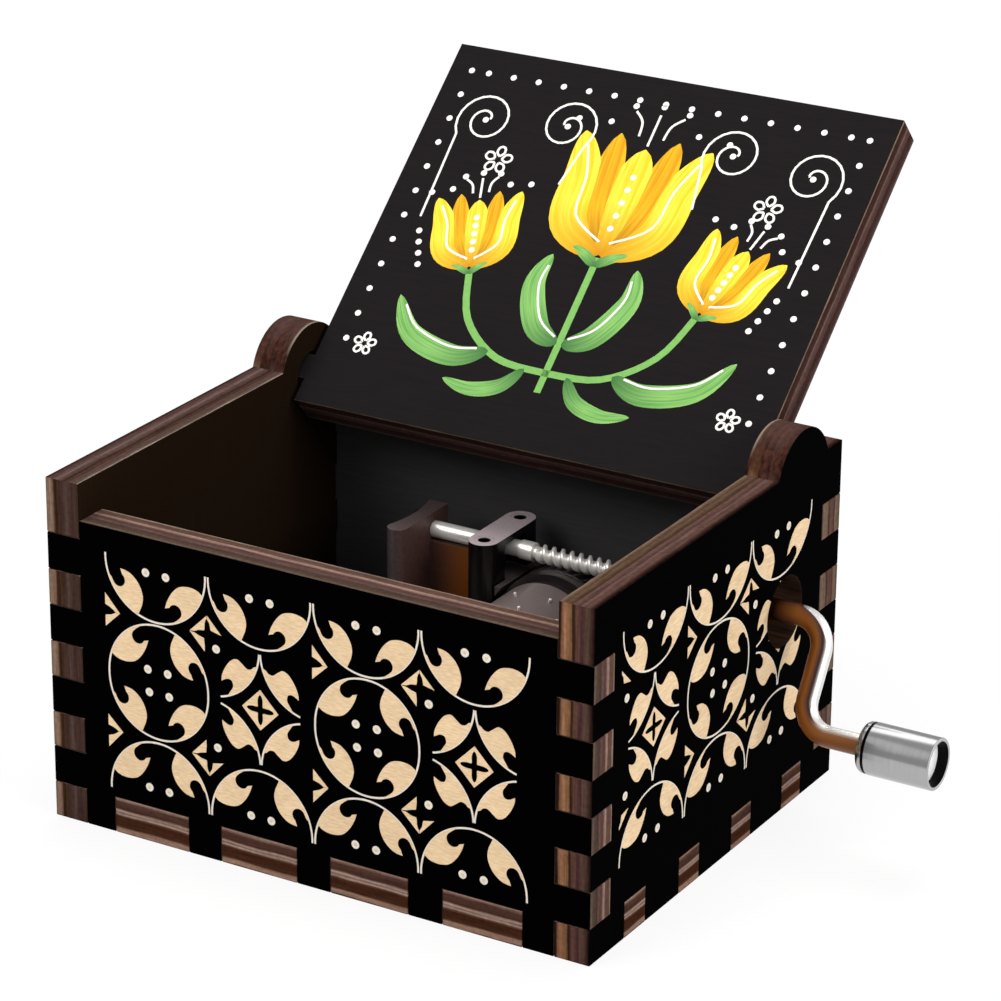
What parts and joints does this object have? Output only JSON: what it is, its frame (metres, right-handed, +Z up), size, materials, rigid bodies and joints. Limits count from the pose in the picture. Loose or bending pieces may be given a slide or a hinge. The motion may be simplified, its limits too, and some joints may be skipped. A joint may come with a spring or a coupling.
{
  "type": "music box",
  "caption": "Small finger-jointed wooden box with a lid on side pivots and a hand crank that turns a worm, a wheel and a pinned drum beside a steel comb.",
  "frame": {"origin": "middle of the case's underside", "axes": "+Z up, the front panel faces -Y, the crank leaves the case at +X, and the lid opens towards +Y"},
  "size_m": [0.0848, 0.0762, 0.0662],
  "materials": {
    "black_plywood": "black faces with tan engraved ornament, laser-cut brown edges",
    "lid_plywood": "charcoal inner face with a printed flower design",
    "cast_frame": "dark bronze, satin",
    "black_steel": "glossy black",
    "steel": "satin",
    "polished_wire": "polished",
    "knob_metal": "turned, satin"
  },
  "bodies": {
    "case": {"front_panel": "black_plywood", "back_panel": "black_plywood", "left_panel": "black_plywood", "right_panel": "black_plywood", "bottom_panel": "black_plywood", "frame_screw_1": "steel", "frame_screw_2": "steel", "frame_screw_3": "steel", "movement_frame": "cast_frame", "shaft_bridge": "black_steel", "bridge_screw_1": "black_steel", "bridge_screw_2": "black_steel", "front_bearing_plate": "steel", "bearing_screw": "steel", "comb": "steel", "comb_screw_1": "steel", "comb_screw_2": "steel"},
    "lid": {"lid_panel": "lid_plywood"},
    "crank": {"crank_shaft": "polished_wire", "shaft_clip": "steel", "knob_washer": "steel"},
    "knob": {"crank_knob": "knob_metal"},
    "drum": {"pin_drum": "steel", "drum_end_cap": "cast_frame", "worm_wheel": "cast_frame", "drum_arbor": "steel"}
  },
  "joints": [
    {"name": "lid_hinge", "type": "hinge", "parent": "case", "child": "lid", "pos_m": [0, 0.0172, 0.0362], "axis": [1, 0, 0], "range_deg": [0, 138]},
    {"name": "crank_spin", "type": "hinge", "parent": "case", "child": "crank", "pos_m": [0, 0.014, 0.023], "axis": [1, 0, 0], "continuous": true},
    {"name": "knob_spin", "type": "hinge", "parent": "crank", "child": "knob", "pos_m": [0.0487, 0.00791, 0.01325], "axis": [1, 0, 0], "continuous": true},
    {"name": "drum_spin", "type": "hinge", "parent": "case", "child": "drum", "pos_m": [0.0062, 0, 0.01549], "axis": [0, 1, 0], "continuous": true}
  ],
  "couplings": [
    {"joint": "drum_spin", "follows": "crank_spin", "ratio": -0.052632}
  ]
}
